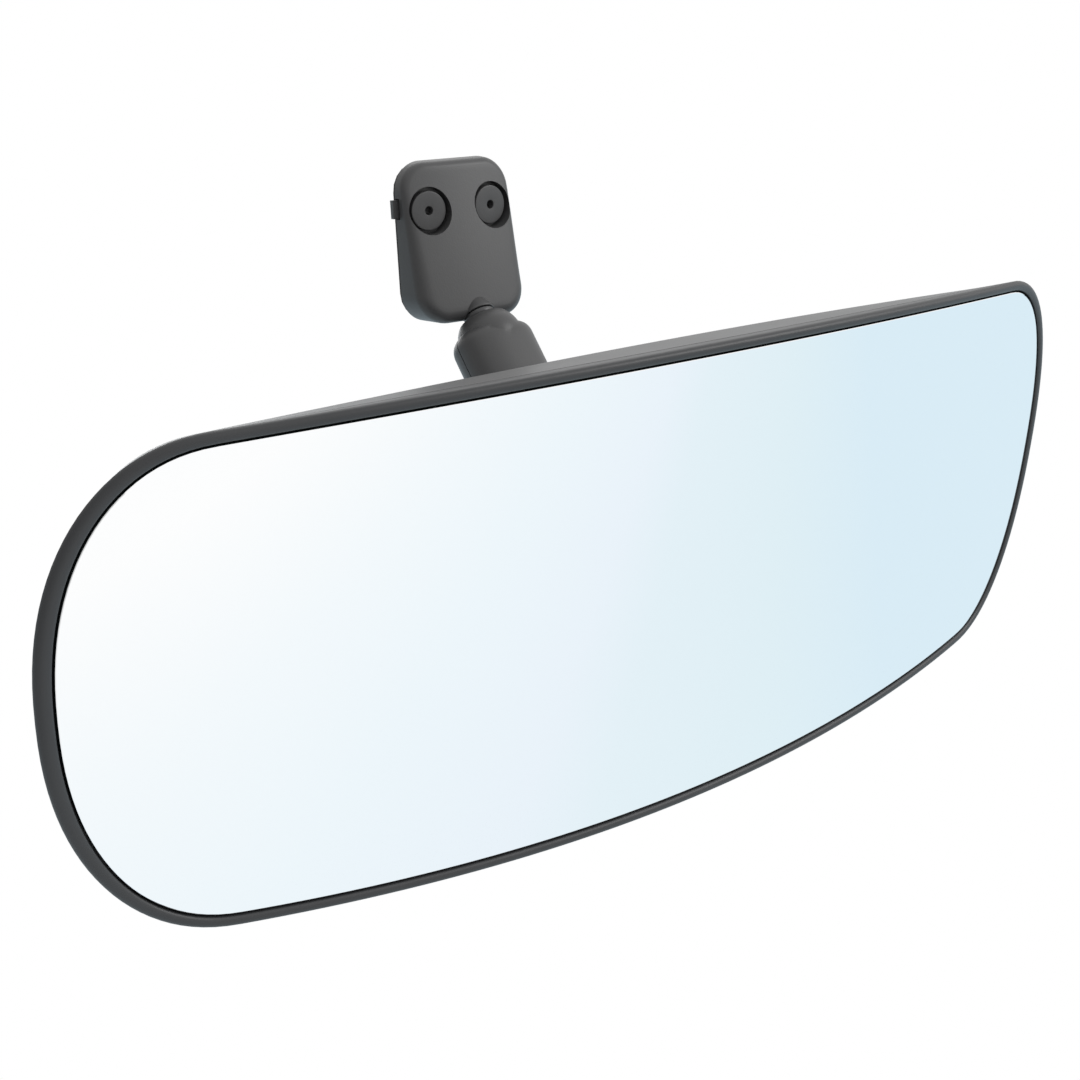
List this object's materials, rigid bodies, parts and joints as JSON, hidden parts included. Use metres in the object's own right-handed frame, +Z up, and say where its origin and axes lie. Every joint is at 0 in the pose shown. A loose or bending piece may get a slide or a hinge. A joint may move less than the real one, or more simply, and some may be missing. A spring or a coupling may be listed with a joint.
{
  "type": "interior rearview mirror",
  "caption": "Wide convex interior rearview mirror in a black moulded head, on a short clamped arm with a ball joint at each end and a wedge-shaped riveted base.",
  "frame": {"origin": "on the rear face of the base's rubber pad, midway between the two rivets", "axes": "+X across the mirror to the driver's right as seen from the driver, +Y out of the rear mounting face, away from the driver, +Z up"},
  "size_m": [0.305, 0.1178, 0.1533],
  "materials": {
    "mirror_silver": "silvered convex glass, polished",
    "foam": "closed-cell foam, matt",
    "grey_plastic": "plain moulded, hidden",
    "black_plastic": "fine grained moulded black, satin",
    "zinc_steel": "zinc plated steel",
    "nylon": "natural nylon",
    "rubber": "black rubber, matt",
    "rivet_black": "black painted aluminium, satin",
    "black_stud": "black coated steel, satin"
  },
  "bodies": {
    "base": {"base_cover": "black_plastic", "backing_plate": "zinc_steel", "mount_gasket": "rubber", "rivet_left": "rivet_black", "rivet_right": "rivet_black", "rivet_sleeve_left": "zinc_steel", "rivet_sleeve_right": "zinc_steel", "stud_set_screw": "zinc_steel", "upper_ball_stud": "black_stud"},
    "upper_cup": {"upper_ball_cup": "nylon"},
    "upper_seat": {"upper_ball_seat": "nylon"},
    "arm": {"arm_front_half": "black_plastic", "arm_rear_half": "black_plastic", "clamp_screw": "zinc_steel", "clamp_washer": "zinc_steel", "clamp_nut": "zinc_steel", "clamp_spring": "zinc_steel"},
    "lower_seat": {"lower_ball_seat": "nylon"},
    "lower_cup": {"lower_ball_cup": "nylon"},
    "mirror": {"mirror_glass": "mirror_silver", "glass_pad": "foam", "carrier_plate": "grey_plastic", "front_bezel": "black_plastic", "rear_housing": "black_plastic", "pivot_bracket": "zinc_steel", "bracket_screw_1": "zinc_steel", "bracket_screw_2": "zinc_steel", "bracket_screw_3": "zinc_steel", "bracket_screw_4": "zinc_steel", "lower_ball_stud": "zinc_steel", "stud_washer": "zinc_steel", "stud_nut": "zinc_steel", "rear_collar": "black_plastic"}
  },
  "joints": [
    {"name": "upper_twist", "type": "hinge", "parent": "base", "child": "upper_cup", "pos_m": [0, -0.0178, -0.0344], "axis": [0, 0.6293, 0.7771], "range_deg": [-25, 25]},
    {"name": "upper_pitch", "type": "hinge", "parent": "upper_cup", "child": "upper_seat", "pos_m": [0, -0.0178, -0.0344], "axis": [1, 0, 0], "range_deg": [-8, 8]},
    {"name": "upper_sway", "type": "hinge", "parent": "upper_seat", "child": "arm", "pos_m": [0, -0.0178, -0.0344], "axis": [0, 0.7771, -0.6293], "range_deg": [-8, 8]},
    {"name": "lower_tilt", "type": "hinge", "parent": "arm", "child": "lower_seat", "pos_m": [0, -0.05071, -0.07505], "axis": [1, 0, 0], "range_deg": [-14, 14]},
    {"name": "lower_pan", "type": "hinge", "parent": "lower_seat", "child": "lower_cup", "pos_m": [0, -0.05071, -0.07505], "axis": [0, -0.1323, 0.9912], "range_deg": [-14, 14]},
    {"name": "lower_roll", "type": "hinge", "parent": "lower_cup", "child": "mirror", "pos_m": [0, -0.05071, -0.07505], "axis": [0, 0.9912, 0.1323], "range_deg": [-15, 15]}
  ]
}
